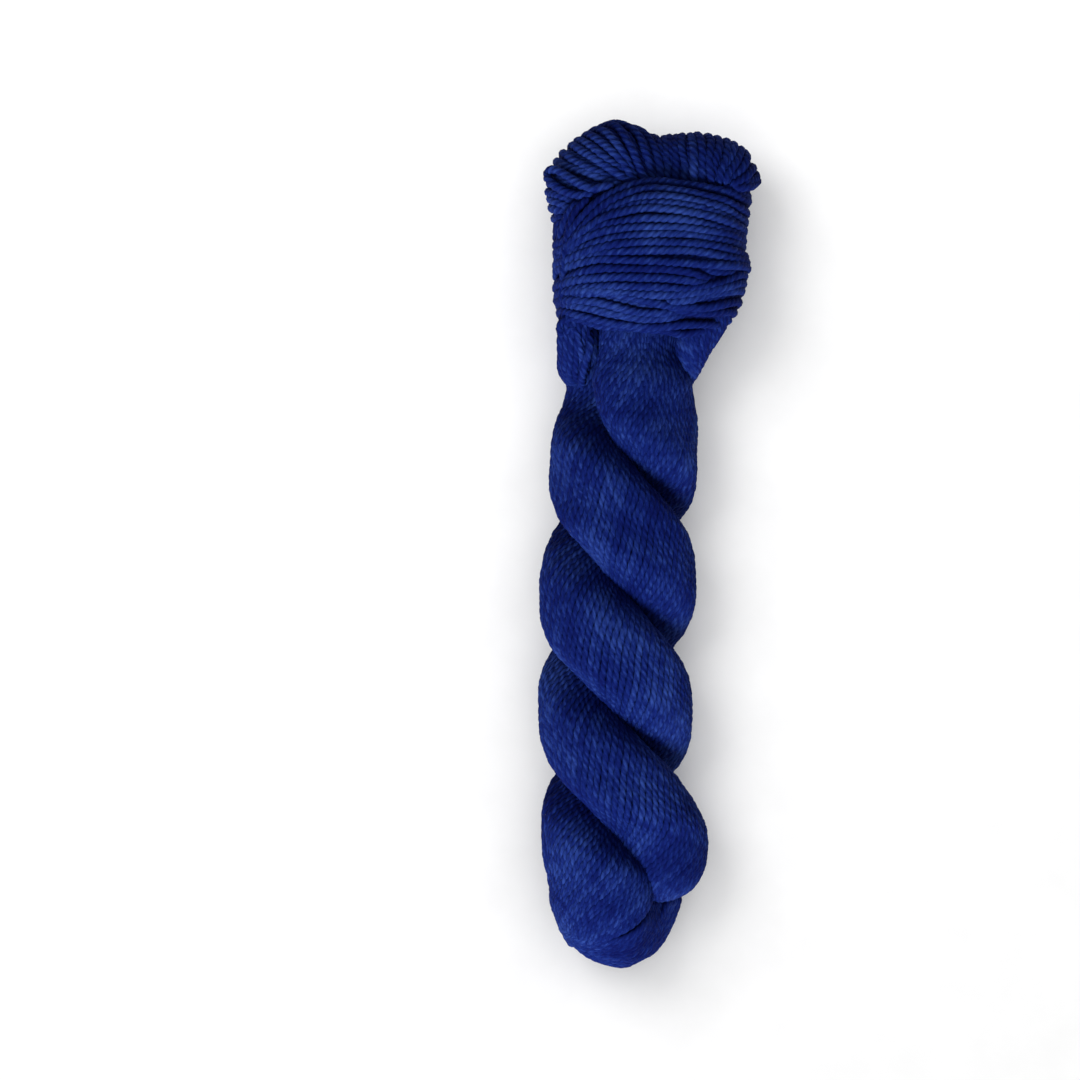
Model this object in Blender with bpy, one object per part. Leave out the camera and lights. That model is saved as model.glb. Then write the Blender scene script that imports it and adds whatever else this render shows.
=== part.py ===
"""A twisted hank of plied wool yarn, lying on its back with its head toward +Y.

The skein is one loop of yarn, folded in half. The two halves are twisted round each
other into a rope with a left-handed lay, and turn into each other at the tail. At the
head one half passes under a band of turns of the other half and folds over as a crest,
and the band's turns run down to the rope again as a shoulder on each side.

Metres, +Z up. X = 0 is half way across the hank and Y = 0 half way along it.
"""
import math

import bmesh
import bpy
from mathutils import Vector

# Driving sizes of the rope
AXIS_HEIGHT = 0.0196      # the rope's axis above the surface it lies on
BUNDLE_OFFSET = 0.0096    # from the axis to the middle of a bundle
FIRST_NOTCH_Y = 0.0467    # where the rope leaves the head
LAST_NOTCH_Y = -0.1050    # where the first bundle lies straight in front at the tail
HALF_TURNS = 4            # half turns between the two, were it even all the way
SLACK = 0.06              # how much slacker the twist is toward the head, in half turns
HEAD_TURN = 0.12          # the half turns already made where it leaves the head
HEAD_EASE = 0.08          # how softly the twist starts from there
ROPE_TOP_Y = 0.0780       # the rope's end, inside the head

# The rope along its length: where its axis lies, how far a bundle reaches out from the
# axis where it is at the side, and half a bundle's breadth
ROPE_ROWS = (
    # y, axis_x, reach, breadth
    (0.0780, 0.0015, 0.0215, 0.0160),
    (0.0600, -0.0035, 0.0212, 0.0160),
    (0.0467, -0.0059, 0.0196, 0.0166),
    (0.0270, -0.0078, 0.0222, 0.0184),
    (0.0077, -0.0092, 0.0224, 0.0181),
    (-0.0133, -0.0096, 0.0237, 0.0180),
    (-0.0313, -0.0108, 0.0234, 0.0179),
    (-0.0493, -0.0104, 0.0233, 0.0176),
    (-0.0679, -0.0100, 0.0226, 0.0175),
    (-0.0880, -0.0096, 0.0231, 0.0176),
    (-0.1064, -0.0097, 0.0222, 0.0182),
)

# The last bulge of the second bundle, which ends in a rounded knuckle over the tail
BULGE = 0.0042
BULGE_Y = -0.0905
BULGE_LENGTH = 0.0160
SWELL_OUT = 0.4           # the share of the bulge that moves it out, not only fattens it
BULGE_TURNS = 2.50        # the half turns at which the bulge stays, at the right
FRONT_TURNS = 3.86        # the half turns at which the other bundle stays, in front
DRIFT = 0.09              # the half turns that each still makes after that
KNUCKLE_Y = -0.0930       # where the knuckle starts to round off
SMALLEST_SIZE = 0.2       # the size at which its end is lost in the tail

# The tail, where the two bundles turn into each other behind the knuckle
TAIL_Y = -0.1064
TAIL_LENGTH = 0.0212
TAIL_TAPER = 0.34
RETURN_TOP_Y = -0.0760    # where the turn comes up behind the rope
RETURN_START = 0.75       # its size there, against a bundle's
RETURN_END = 1.12         # its size at the tail

# The band of turns round the head, in sections across the hank
BAND_ROWS = (
    # y, left, right, top
    (0.1120, -0.0230, 0.0270, 0.0330),
    (0.1085, -0.0262, 0.0296, 0.0390),
    (0.1035, -0.0282, 0.0305, 0.0436),
    (0.0960, -0.0292, 0.0296, 0.0466),
    (0.0880, -0.0294, 0.0292, 0.0480),
    (0.0835, -0.0294, 0.0304, 0.0482),
    (0.0780, -0.0296, 0.0292, 0.0480),
    (0.0720, -0.0290, 0.0276, 0.0468),
    (0.0665, -0.0270, 0.0246, 0.0445),
    (0.0625, -0.0225, 0.0205, 0.0410),
    (0.0605, -0.0170, 0.0160, 0.0370),
)
BAND_UNDERSIDE = -0.0020
BAND_SQUARENESS = 2.5     # 2 is an ellipse, more is squarer

# The crest over the head's end, in sections along the hank
CREST_ROWS = (
    # x, low, high, thick
    (-0.0314, 0.1030, 0.1100, 0.0050),
    (-0.0300, 0.0960, 0.1150, 0.0080),
    (-0.0256, 0.0900, 0.1196, 0.0110),
    (-0.0208, 0.0860, 0.1233, 0.0140),
    (-0.0150, 0.0840, 0.1266, 0.0160),
    (-0.0096, 0.0830, 0.1276, 0.0165),
    (-0.0030, 0.0830, 0.1256, 0.0155),
    (0.0020, 0.0830, 0.1230, 0.0140),
    (0.0050, 0.0830, 0.1222, 0.0132),
    (0.0082, 0.0830, 0.1234, 0.0142),
    (0.0140, 0.0840, 0.1240, 0.0160),
    (0.0210, 0.0860, 0.1228, 0.0155),
    (0.0270, 0.0910, 0.1202, 0.0130),
    (0.0308, 0.0985, 0.1168, 0.0095),
    (0.0336, 0.1060, 0.1120, 0.0040),
)
CREST_HEIGHT = 0.0225
CREST_SQUARENESS = 2.3

# The shoulders: the middle of each bundle from the band down to the rope, and its radius
LEFT_SHOULDER = (
    # x, y, z, radius
    (-0.0200, 0.0800, 0.0270, 0.0060),
    (-0.0212, 0.0700, 0.0290, 0.0066),
    (-0.0214, 0.0610, 0.0280, 0.0068),
    (-0.0206, 0.0535, 0.0235, 0.0066),
    (-0.0165, 0.0485, 0.0160, 0.0060),
    (-0.0105, 0.0460, 0.0100, 0.0050),
)
RIGHT_SHOULDER = (
    # x, y, z, radius
    (0.0200, 0.0800, 0.0260, 0.0070),
    (0.0160, 0.0690, 0.0290, 0.0078),
    (0.0110, 0.0600, 0.0280, 0.0080),
    (0.0070, 0.0530, 0.0230, 0.0080),
    (0.0030, 0.0470, 0.0150, 0.0070),
    (-0.0020, 0.0420, 0.0100, 0.0060),
)

# How finely the solid is drawn
ROPE_SIDES = 34
ROPE_STEP = 0.0028
TAIL_STEPS = 9
BAND_SIDES = 40
CREST_SIDES = 22
SHOULDER_SIDES = 14
SMOOTHING_STEPS = 2

YARN_COLOUR = (0.0080, 0.0190, 0.1500, 1.0)
YARN_ROUGHNESS = 0.9


def clear_scene():
    for item in list(bpy.data.objects):
        bpy.data.objects.remove(item, do_unlink=True)


def new_collection(name):
    collection = bpy.data.collections.new(name)
    bpy.context.scene.collection.children.link(collection)
    return collection


def yarn_material():
    material = bpy.data.materials.new("yarn")
    material.use_nodes = True
    shader = material.node_tree.nodes["Principled BSDF"]
    shader.inputs["Base Color"].default_value = YARN_COLOUR
    shader.inputs["Roughness"].default_value = YARN_ROUGHNESS
    shader.inputs["Metallic"].default_value = 0.0
    return material


def curve_through(rows, position):
    """A smooth curve through the rows, read at a position counted in rows."""
    last = len(rows) - 1
    index = min(int(position), last - 1)
    part = position - index
    before = rows[max(index - 1, 0)]
    start = rows[index]
    end = rows[index + 1]
    after = rows[min(index + 2, last)]
    values = []
    for p0, p1, p2, p3 in zip(before, start, end, after):
        bend = 2 * p0 - 5 * p1 + 4 * p2 - p3
        twist = 3 * (p1 - p2) + p3 - p0
        values.append(p1 + 0.5 * part * (p2 - p0 + part * (bend + part * twist)))
    return values


def rope_at(y):
    """The rope's axis_x, reach and breadth at y, eased between the rows."""
    rows = ROPE_ROWS
    y = min(max(y, rows[-1][0]), rows[0][0])
    for upper, lower in zip(rows, rows[1:]):
        if y >= lower[0]:
            part = ease((upper[0] - y) / (upper[0] - lower[0]))
            return [a + (b - a) * part for a, b in zip(upper[1:], lower[1:])]
    return list(rows[-1][1:])


def half_turns(y):
    """How many half turns the rope has made at y, counted from the first notch."""
    length = FIRST_NOTCH_Y - LAST_NOTCH_Y
    part = min((FIRST_NOTCH_Y - y) / length, 1.0)
    turns = HALF_TURNS * part - SLACK * math.sin(math.pi * max(part, 0.0))
    past = (turns - HEAD_TURN) / HEAD_EASE
    return HEAD_TURN + HEAD_EASE * (max(past, 0.0) + math.log1p(math.exp(-abs(past))))


def settle(turns, limit):
    """The turns, which slow down past the limit and stop a little after it."""
    if turns <= limit:
        return turns
    return limit + DRIFT * (1 - math.exp((limit - turns) / DRIFT))


def ease(part):
    part = min(max(part, 0.0), 1.0)
    return part * part * (3 - 2 * part)


def bundles_at(y):
    """Each bundle at y: its angle about the axis, from the front, its swelling and size."""
    turns = half_turns(y)
    swell = BULGE * math.exp(-((y - BULGE_Y) / BULGE_LENGTH) ** 2)
    rounding = max((KNUCKLE_Y - y) / (KNUCKLE_Y - TAIL_Y), 0.0)
    knuckle = math.sqrt(max(1 - rounding ** 4, 0.0))
    front = math.pi * settle(turns, FRONT_TURNS)
    side = math.pi * settle(turns - 1, BULGE_TURNS)
    bundles = [(front, 0.0, 1.0), (side, swell, knuckle)]
    if y < RETURN_TOP_Y:
        part = ease((RETURN_TOP_Y - y) / (RETURN_TOP_Y - TAIL_Y))
        bundles.append((math.pi, 0.0, RETURN_START + (RETURN_END - RETURN_START) * part))
    return bundles


def reach_toward(angle, bundle, reach, breadth):
    """How far a bundle's oval section reaches from the axis in the angle's direction."""
    centre_angle, swell, size = bundle
    if size < SMALLEST_SIZE:
        return 0.0
    offset = BUNDLE_OFFSET + SWELL_OUT * swell
    depth = size * (reach + swell - offset)
    breadth = size * breadth
    across = math.sin(angle - centre_angle)
    along = math.cos(angle - centre_angle)
    square = (along / depth) ** 2 + (across / breadth) ** 2
    half = offset * along / depth ** 2
    rest = (offset / depth) ** 2 - 1
    root = half ** 2 - square * rest
    if root < 0:
        return 0.0
    return (half + math.sqrt(root)) / square


def rope_ring(y):
    """The outline of the bundles together, which turns with them."""
    axis_x, reach, breadth = rope_at(y)
    bundles = bundles_at(y)
    ring = []
    for k in range(ROPE_SIDES):
        angle = bundles[0][0] + 2 * math.pi * k / ROPE_SIDES
        radius = max(reach_toward(angle, bundle, reach, breadth) for bundle in bundles)
        x = axis_x + radius * math.sin(angle)
        z = AXIS_HEIGHT + radius * math.cos(angle)
        ring.append(Vector((x, y, z)))
    return ring


def tail_ring(part):
    """The outline of the turn at the tail, from 0 where it begins to 1 at its tip."""
    axis_x = rope_at(TAIL_Y)[0]
    width = (1 - TAIL_TAPER * part) * math.sqrt(max(1 - part ** 4, 0))
    height = math.sqrt(max(1 - part ** 2, 0))
    ring = []
    for point in rope_ring(TAIL_Y):
        x = axis_x + (point.x - axis_x) * width
        z = AXIS_HEIGHT + (point.z - AXIS_HEIGHT) * height
        ring.append(Vector((x, TAIL_Y - TAIL_LENGTH * part, z)))
    return ring


def rope_rings():
    steps = round((ROPE_TOP_Y - TAIL_Y) / ROPE_STEP)
    step = (ROPE_TOP_Y - TAIL_Y) / steps
    rings = [rope_ring(ROPE_TOP_Y - step * k) for k in range(steps + 1)]
    for k in range(1, TAIL_STEPS + 1):
        rings.append(tail_ring(math.sin(0.49 * math.pi * k / TAIL_STEPS)))
    return rings


def oval(sides, squareness):
    """The points of a rounded rectangle with sides from -1 to 1."""
    for k in range(sides):
        angle = 2 * math.pi * k / sides
        across = abs(math.cos(angle)) ** (2 / squareness)
        up = abs(math.sin(angle)) ** (2 / squareness)
        yield math.copysign(across, math.cos(angle)), math.copysign(up, math.sin(angle))


def band_rings():
    rings = []
    for k in range(SMOOTHING_STEPS * (len(BAND_ROWS) - 1) + 1):
        y, left, right, top = curve_through(BAND_ROWS, k / SMOOTHING_STEPS)
        middle = 0.5 * (left + right)
        width = 0.5 * (right - left)
        centre = 0.5 * (top + BAND_UNDERSIDE)
        height = 0.5 * (top - BAND_UNDERSIDE)
        ring = []
        for across, up in oval(BAND_SIDES, BAND_SQUARENESS):
            ring.append(Vector((middle + width * across, y, centre + height * up)))
        rings.append(ring)
    return rings


def crest_rings():
    rings = []
    for k in range(SMOOTHING_STEPS * (len(CREST_ROWS) - 1) + 1):
        x, low, high, thick = curve_through(CREST_ROWS, k / SMOOTHING_STEPS)
        centre = 0.5 * (low + high)
        length = 0.5 * (high - low)
        ring = []
        for along, up in oval(CREST_SIDES, CREST_SQUARENESS):
            ring.append(Vector((x, centre + length * along, CREST_HEIGHT + thick * up)))
        rings.append(ring)
    return rings


def shoulder_rings(rows):
    """Round sections square to the bundle's own run."""
    last = len(rows) - 1
    rings = []
    for k in range(SMOOTHING_STEPS * last + 1):
        position = k / SMOOTHING_STEPS
        x, y, z, radius = curve_through(rows, position)
        ahead = Vector(curve_through(rows, min(position + 0.1, last))[:3])
        behind = Vector(curve_through(rows, max(position - 0.1, 0))[:3])
        run = (ahead - behind).normalized()
        side = run.cross(Vector((0, 0, 1))).normalized()
        up = side.cross(run)
        ring = []
        for across, above in oval(SHOULDER_SIDES, 2):
            ring.append(Vector((x, y, z)) + radius * (across * side + above * up))
        rings.append(ring)
    return rings


def loft(name, rings, collection):
    """A closed skin over the rings, with a flat face at each end."""
    shape = bmesh.new()
    loops = [[shape.verts.new(point) for point in ring] for ring in rings]
    for upper, lower in zip(loops, loops[1:]):
        for k in range(len(upper)):
            following = (k + 1) % len(upper)
            shape.faces.new((upper[k], upper[following], lower[following], lower[k]))
    shape.faces.new(loops[0])
    shape.faces.new(loops[-1])
    bmesh.ops.recalc_face_normals(shape, faces=shape.faces)
    bmesh.ops.triangulate(shape, faces=shape.faces)
    mesh = bpy.data.meshes.new(name)
    shape.to_mesh(mesh)
    shape.free()
    part = bpy.data.objects.new(name, mesh)
    collection.objects.link(part)
    return part


def guide(part):
    part.hide_render = True
    part.display_type = "WIRE"
    return part


def combine(part, other, operation):
    modifier = part.modifiers.new(operation.lower() + "_" + other.name, "BOOLEAN")
    modifier.operation = operation
    modifier.solver = "EXACT"
    modifier.object = other


def below_surface(collection):
    """A block under the surface, which cuts the hank flat where it lies."""
    size = (0.2, 0.4, 0.1)
    shape = bmesh.new()
    bmesh.ops.create_cube(shape, size=1.0)
    bmesh.ops.scale(shape, vec=size, verts=shape.verts)
    bmesh.ops.translate(shape, vec=(0, 0, -0.5 * size[2]), verts=shape.verts)
    mesh = bpy.data.meshes.new("below_surface")
    shape.to_mesh(mesh)
    shape.free()
    block = bpy.data.objects.new("below_surface", mesh)
    collection.objects.link(block)
    return block


def build():
    clear_scene()
    parts = new_collection("hank_of_yarn")
    guides = new_collection("guides")
    hank = loft("hank", rope_rings(), parts)
    hank.data.materials.append(yarn_material())
    additions = (
        ("band", band_rings()),
        ("crest", crest_rings()),
        ("left_shoulder", shoulder_rings(LEFT_SHOULDER)),
        ("right_shoulder", shoulder_rings(RIGHT_SHOULDER)),
    )
    for name, rings in additions:
        combine(hank, guide(loft(name, rings, guides)), "UNION")
    combine(hank, guide(below_surface(guides)), "DIFFERENCE")


build()
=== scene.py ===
"""A twisted hank of deep blue plied wool, drawn strand by strand.

Every strand is a three-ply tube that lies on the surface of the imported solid: round the
two bundles of the rope, over the tail, round the band at the head, over the crest and
down the two shoulders. A plain core lies under them all.

Metres, +Z up. X = 0 is half way across the hank and Y = 0 half way along it.
"""
import math

import bpy
import numpy as np
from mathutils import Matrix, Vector


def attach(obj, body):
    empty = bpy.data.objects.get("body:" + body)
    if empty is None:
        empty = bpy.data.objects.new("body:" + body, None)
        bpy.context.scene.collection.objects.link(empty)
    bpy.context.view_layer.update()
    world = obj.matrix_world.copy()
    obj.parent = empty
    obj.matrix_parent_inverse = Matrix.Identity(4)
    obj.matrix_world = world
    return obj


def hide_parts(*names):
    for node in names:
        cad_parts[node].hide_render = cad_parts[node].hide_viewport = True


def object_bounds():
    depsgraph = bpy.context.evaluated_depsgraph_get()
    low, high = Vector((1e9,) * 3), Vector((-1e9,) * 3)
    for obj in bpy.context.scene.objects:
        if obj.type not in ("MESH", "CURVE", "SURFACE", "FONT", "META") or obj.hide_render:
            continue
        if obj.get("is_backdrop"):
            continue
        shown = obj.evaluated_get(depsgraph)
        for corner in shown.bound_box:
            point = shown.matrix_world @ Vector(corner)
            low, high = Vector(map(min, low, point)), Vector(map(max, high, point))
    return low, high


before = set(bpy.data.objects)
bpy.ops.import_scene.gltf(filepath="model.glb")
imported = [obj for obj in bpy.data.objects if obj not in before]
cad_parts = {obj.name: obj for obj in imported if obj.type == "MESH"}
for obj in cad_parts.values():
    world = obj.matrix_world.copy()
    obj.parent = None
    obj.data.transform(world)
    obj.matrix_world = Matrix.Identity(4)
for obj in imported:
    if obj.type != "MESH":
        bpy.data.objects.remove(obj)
cad_low, cad_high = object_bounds()


def metres(tenths):
    """A table given in tenths of a millimetre, in metres."""
    return np.array(tenths) / 10000


# The solid's sizes, with a few of them changed a little for the likeness
AXIS_HEIGHT = 0.0196
BUNDLE_OFFSET = 0.0096
FIRST_NOTCH_Y = 0.0467
LAST_NOTCH_Y = -0.1050
HALF_TURNS = 4
SLACK = 0.06
HEAD_TURN = 0.12
HEAD_EASE = 0.08
HEAD_FILL = 0.0036  # the second bundle is thicker under the band by this
HEAD_FILL_LENGTH = 0.014
ROPE_ROWS = metres((
    # y, axis_x, reach, breadth
    (780, -60, 150, 120),
    (600, -72, 160, 126),
    (467, -62, 196, 160),
    (270, -78, 222, 184),
    (140, -82, 219, 177),
    (77, -90, 222, 179),
    (-133, -96, 237, 180),
    (-313, -108, 234, 179),
    (-493, -104, 233, 176),
    (-679, -100, 226, 175),
    (-880, -96, 231, 176),
    (-1064, -95, 222, 167),
))
BULGE = 0.0042
BULGE_Y = -0.0905
BULGE_LENGTH = 0.0160
SWELL_OUT = 0.4
BULGE_TURNS = 2.43
FRONT_TURNS = 3.73
DRIFT = 0.09
KNUCKLE_Y = -0.0930
TAIL_Y = -0.1064
TAIL_LENGTH = 0.0212
TAIL_TAPER = 0.34
RETURN_TOP_Y = -0.0760
RETURN_START = 0.75
RETURN_END = 1.21
BAND_ROWS = metres((
    # y, left, right, top
    (1120, -230, 270, 330),
    (1085, -262, 296, 390),
    (1035, -282, 305, 436),
    (960, -292, 296, 466),
    (880, -294, 292, 480),
    (835, -294, 304, 482),
    (780, -296, 292, 480),
    (720, -290, 276, 468),
    (665, -270, 246, 445),
    (625, -225, 205, 410),
    (605, -170, 160, 370),
))
BAND_UNDERSIDE = -0.0020
BAND_SQUARENESS = 2.5
CREST_ROWS = metres((
    # x, low, high, thick
    (-314, 1030, 1100, 50),
    (-300, 960, 1150, 80),
    (-256, 900, 1196, 110),
    (-208, 860, 1233, 140),
    (-150, 840, 1266, 160),
    (-96, 830, 1276, 165),
    (-30, 830, 1256, 155),
    (20, 830, 1230, 140),
    (50, 830, 1232, 132),
    (82, 830, 1234, 142),
    (140, 840, 1240, 160),
    (210, 860, 1228, 155),
    (270, 910, 1202, 130),
    (308, 985, 1168, 95),
    (336, 1060, 1120, 40),
))
CREST_HEIGHT = 0.0225
CREST_SQUARENESS = 2.3
LEFT_SHOULDER = metres((
    # x, y, z, radius
    (-195, 800, 270, 58),
    (-218, 700, 290, 55),
    (-229, 620, 285, 52),
    (-229, 565, 260, 51),
    (-227, 532, 210, 50),
    (-215, 512, 130, 46),
))
RIGHT_SHOULDER = metres((
    (200, 800, 260, 70),
    (165, 690, 285, 74),
    (128, 600, 275, 62),
    (112, 530, 240, 40),
    (75, 470, 190, 32),
    (0, 410, 120, 28),
))
# What the shoulders rest on, from the band to the rope
UNDER_LEFT = metres((
    (-195, 800, 172, 62),
    (-200, 680, 174, 64),
    (-195, 590, 165, 60),
    (-188, 530, 135, 44),
    (-180, 480, 95, 30),
))
UNDER_RIGHT = metres((
    (120, 800, 125, 88),
    (95, 690, 124, 95),
    (55, 580, 116, 90),
    (8, 480, 96, 76),
    (-40, 390, 88, 60),
))

# A strand's section: each ply shows as a lobe between two grooves
PLIES = 3
PLY_PROFILE = (0.76, 0.94, 1.0, 0.94)  # a ply's radii from one groove to the next
PLY_GROOVE_SHADE = (0.9, 0.40, 0.0, 0.40)  # painted shade for each of them, by how deep in the groove it lies
FLANK_SHADE_START = 0.80  # painted shade darkens its flanks, where it meets its neighbours, below this share of its height
STRAND_SIDES = PLIES * len(PLY_PROFILE)
RINGS_PER_TURN = 8

# The yarn under tension in the rope, and slack round the head
ROPE_STRAND = 0.00116  # radius
ROPE_PITCH = 0.0075  # length of one turn of the plies
HEAD_STRAND = 0.00142
HEAD_PITCH = 0.0070

# How far a strand strays to its sides, and how it changes on its way
ROPE_LOOSE = 0.00012
BAND_LOOSE = 0.00015
CREST_LOOSE = 0.0002
UNDER_LOOSE = 0.00025
FINE_LOOSE = 0.0001
LIFT = 0.00015  # how far it strays up and down
SIDE_SWING = 0.05  # length of one swing to its sides
LIFT_SWING = 0.04
GIRTH_SWING = 0.02
GIRTH_CHANGE = 0.06  # share of its radius by which it swells
TWIST_SWING = 0.025
TWIST_CHANGE = 0.5  # how far its twist runs ahead or behind, in radians
END_SIZES = (0.35, 0.8)  # shares of its radius at its first and last two rings
FLOOR_REST = 0.92  # share of its radius at which it rests on the surface

# How the strands run round a bundle: turns back against the lay, in radians a metre
BUNDLE_STRANDS = 46
STRAND_TURN_ROWS = (
    # y, first bundle, second bundle
    (0.0780, 72.0, 50.0),
    (0.0467, 74.0, 52.0),
    (0.0360, 72.0, 53.0),
    (0.0270, 66.0, 54.0),
    (0.0000, 54.0, 53.0),
    (-0.0600, 50.0, 52.0),
    (-0.0750, 62.0, 56.0),
    (-0.0880, 84.0, 62.0),
    (-0.0940, 84.0, 74.0),
    (-0.0995, 82.0, 80.0),
    (-0.1064, 84.0, 90.0),
)
ROPE_TOP_Y = 0.0690
ROPE_SAMPLE = 0.0004
HALF_WAY_Y = -0.030  # each bundle is in two pieces, above this and below it
HIDDEN_MARGIN = 0.0022  # a strand is left out where it lies this deep in another bundle
LEAST_SIZE = 0.0003  # the least half size of a bundle's section

# The strands over the tail's end
TAIL_RUN = 0.055  # how far each is drawn past the rope's end
TAIL_JOIN = 0.010  # they come up to the tail's skin over this length
TAIL_INSIDE = 0.0045  # those that end deeper than this stay hidden
SIDE_STARTS = (0.90, 3.00)  # angles round the rope's end where more strands start
SIDE_STEP = 0.10
SIDE_DEPTH = 0.0020  # those on top start this deep, behind the others
SIDE_TOP = 1.50
SIDE_LEANS = (0.95, 0.45)  # how far the first and the last lean round the tail
UNDER_LEAN = 0.35
UNDER_STEP = 0.125
UNDER_DEPTH = 0.0019  # a deeper layer of them all round, for the gaps
UNDER_RUN = 0.034
TIP_START = -0.5 * math.pi  # a fan of them runs from the left over the very end
TIP_LEANS = (-0.50, 0.56)
TIP_STEP = 0.125
TIP_RUN = 0.048

# The band's strands, from the top one down: their y at stations across the hank
BAND_STATIONS = metres((-274, -223, -159, -94, -30, 34, 99, 163, 227, 291))
BAND_LINES = metres((
    (898, 962, 1018, 1055, 1077, 1081, 1074, 1063, 1050, 1028),
    (881, 928, 994, 1033, 1054, 1056, 1048, 1033, 1016, 992),
    (868, 911, 973, 1008, 1028, 1030, 1022, 1009, 992, 964),
    (863, 904, 962, 996, 1010, 1010, 1004, 990, 971, 945),
    (876, 917, 956, 979, 990, 988, 979, 970, 956, 938),
    (855, 896, 938, 951, 960, 958, 953, 942, 932, 921),
    (868, 898, 919, 930, 933, 933, 930, 923, 917, 908),
    (851, 872, 893, 906, 911, 912, 911, 904, 898, 891),
    (838, 857, 874, 884, 887, 887, 885, 881, 874, 866),
    (831, 844, 853, 860, 862, 862, 863, 859, 853, 848),
    (821, 830, 838, 836, 832, 827, 824, 821, 821, 825),
    (784, 801, 810, 809, 806, 806, 799, 784, 778, 782),
    (771, 780, 784, 784, 782, 779, 774, 767, 771, 786),
    (751, 755, 758, 757, 754, 749, 747, 756, 771, 801),
    (746, 748, 743, 736, 731, 730, 733, 741, 756, 778),
    (739, 737, 731, 721, 711, 703, 711, 728, 742, 756),
    (735, 728, 720, 707, 694, 690, 692, 694, 708, 722),
    (728, 733, 737, 728, 711, 698, 681, 674, 682, 696),
    (722, 718, 707, 690, 676, 673, 666, 661, 664, 676),
    (709, 698, 683, 667, 656, 658, 661, 653, 652, 660),
    (692, 673, 653, 638, 632, 634, 641, 643, 645, 646),
    (675, 658, 636, 628, 623, 620, 613, 623, 631, 636),
))
BAND_OVERLAP = 0.04  # each end runs on past the middle of the underside, in radians
BAND_BACK = (0.0990, 0.0630)  # y of the first and of the last one underneath
BAND_FAN = 5.0  # how soon round the sides they reach those
BAND_LAYERS = (0.0, 0.6, 0.25, 0.8)  # how far each dips where they crowd, in radii
BAND_CROWDED = 1.9  # they crowd where they are closer than this, in radii
BAND_GAP = 0.00235  # strands further apart than this show one more between them
BAND_UNDER = 1.3  # how deep that one lies, in radii
BAND_UNDER_ENDS = 0.10  # its ends sink by one more, over this share of it
BAND_MIDDLE = np.array([0.0, 0.085, 0.022])
BAND_SIDES = (0.1047, 0.1065, 0.1083, 0.1101)  # y of more turns, seen under the crest alone
BAND_SIDES_RUN = (0.7, 5.1)  # the angles they run between
BAND_SIDES_DROP = (0.0040, 0.0085)  # how far they draw back underneath, and at the left
BAND_DIP_LENGTH = 0.009
BAND_DIPS = (
    # strand, from x, to x, radii
    (2, -0.0400, -0.0110, 1.2),
    (3, -0.0400, -0.0130, 1.6),
    (11, 0.0130, 0.0400, 1.8),
    (12, 0.0110, 0.0400, 1.8),
    (15, -0.0400, 0.0080, 1.8),
    (16, -0.0400, 0.0090, 1.8),
    (18, 0.0020, 0.0400, 1.8),
    (19, 0.0050, 0.0400, 1.8),
)

# The crest's strands seen from above, each from its far edge to the band: x and y in turn
CREST_LINES = tuple(metres(line).reshape(-1, 2) for line in (
    (-287, 968, -268, 966, -246, 961, -221, 955),
    (-294, 997, -274, 992, -251, 985, -221, 975),
    (-300, 1024, -280, 1016, -253, 1005, -221, 992),
    (-306, 1051, -285, 1041, -255, 1027, -216, 1013),
    (-304, 1078, -281, 1064, -251, 1048, -216, 1035, -182, 1030),
    (-300, 1110, -279, 1092, -251, 1073, -216, 1058, -178, 1048),
    (-287, 1152, -259, 1129, -225, 1110, -208, 1105, -165, 1088, -122, 1073),
    (-266, 1174, -240, 1148, -208, 1129, -191, 1118, -152, 1101, -111, 1077),
    (-240, 1201, -208, 1174, -169, 1146, -150, 1133, -114, 1107, -81, 1084),
    (-219, 1219, -178, 1184, -144, 1154, -126, 1141, -92, 1116, -69, 1088),
    (-195, 1236, -161, 1208, -129, 1178, -114, 1163, -84, 1133, -60, 1094),
    (-165, 1249, -133, 1227, -103, 1193, -90, 1174, -66, 1137, -49, 1096),
    (-126, 1270, -92, 1242, -69, 1199, -58, 1180, -41, 1139, -24, 1096),
    (-75, 1273, -36, 1231, -26, 1210, -11, 1163, -2, 1141, 9, 1094),
    (-39, 1268, -15, 1251, 11, 1201, 17, 1176, 26, 1124, 28, 1096),
    (22, 1226, 27, 1200, 31, 1174, 42, 1129, 46, 1108, 49, 1090),
    (38, 1224, 42, 1198, 44, 1170, 48, 1140, 50, 1110, 50, 1090),
    (55, 1224, 56, 1200, 56, 1174, 56, 1150, 56, 1125, 56, 1090),
    (71, 1224, 69, 1200, 69, 1178, 69, 1133, 66, 1112, 65, 1090),
    (90, 1234, 90, 1210, 88, 1180, 93, 1138, 93, 1120, 90, 1090),
    (118, 1235, 120, 1213, 123, 1172, 123, 1150, 120, 1108, 120, 1088),
    (142, 1238, 146, 1215, 153, 1170, 153, 1150, 150, 1112, 150, 1088),
    (176, 1232, 178, 1208, 172, 1170, 170, 1150, 174, 1108, 176, 1086),
    (206, 1229, 205, 1191, 200, 1174, 188, 1138, 188, 1120, 192, 1084),
    (232, 1219, 232, 1200, 225, 1159, 219, 1140, 206, 1105, 204, 1082),
    (255, 1212, 253, 1191, 238, 1150, 230, 1131, 219, 1099, 217, 1082),
    (277, 1200, 277, 1185, 260, 1146, 249, 1129, 228, 1097, 223, 1080),
    (296, 1176, 298, 1159, 279, 1123, 266, 1108, 243, 1084, 234, 1075),
    (315, 1150, 320, 1135, 303, 1110, 288, 1097, 258, 1078, 245, 1071),
    (331, 1116, 327, 1101, 313, 1088, 296, 1078, 277, 1069, 255, 1065),
    (324, 1078, 311, 1067, 294, 1062, 275, 1059, 258, 1058),
))
CREST_START = 0.9  # each starts this much of a step further in, under the band
CREST_PAINTED_LIGHT_TONES = (0, 2)  # painted light: they are lighter than the others, for the key light that falls away from the crest
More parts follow.
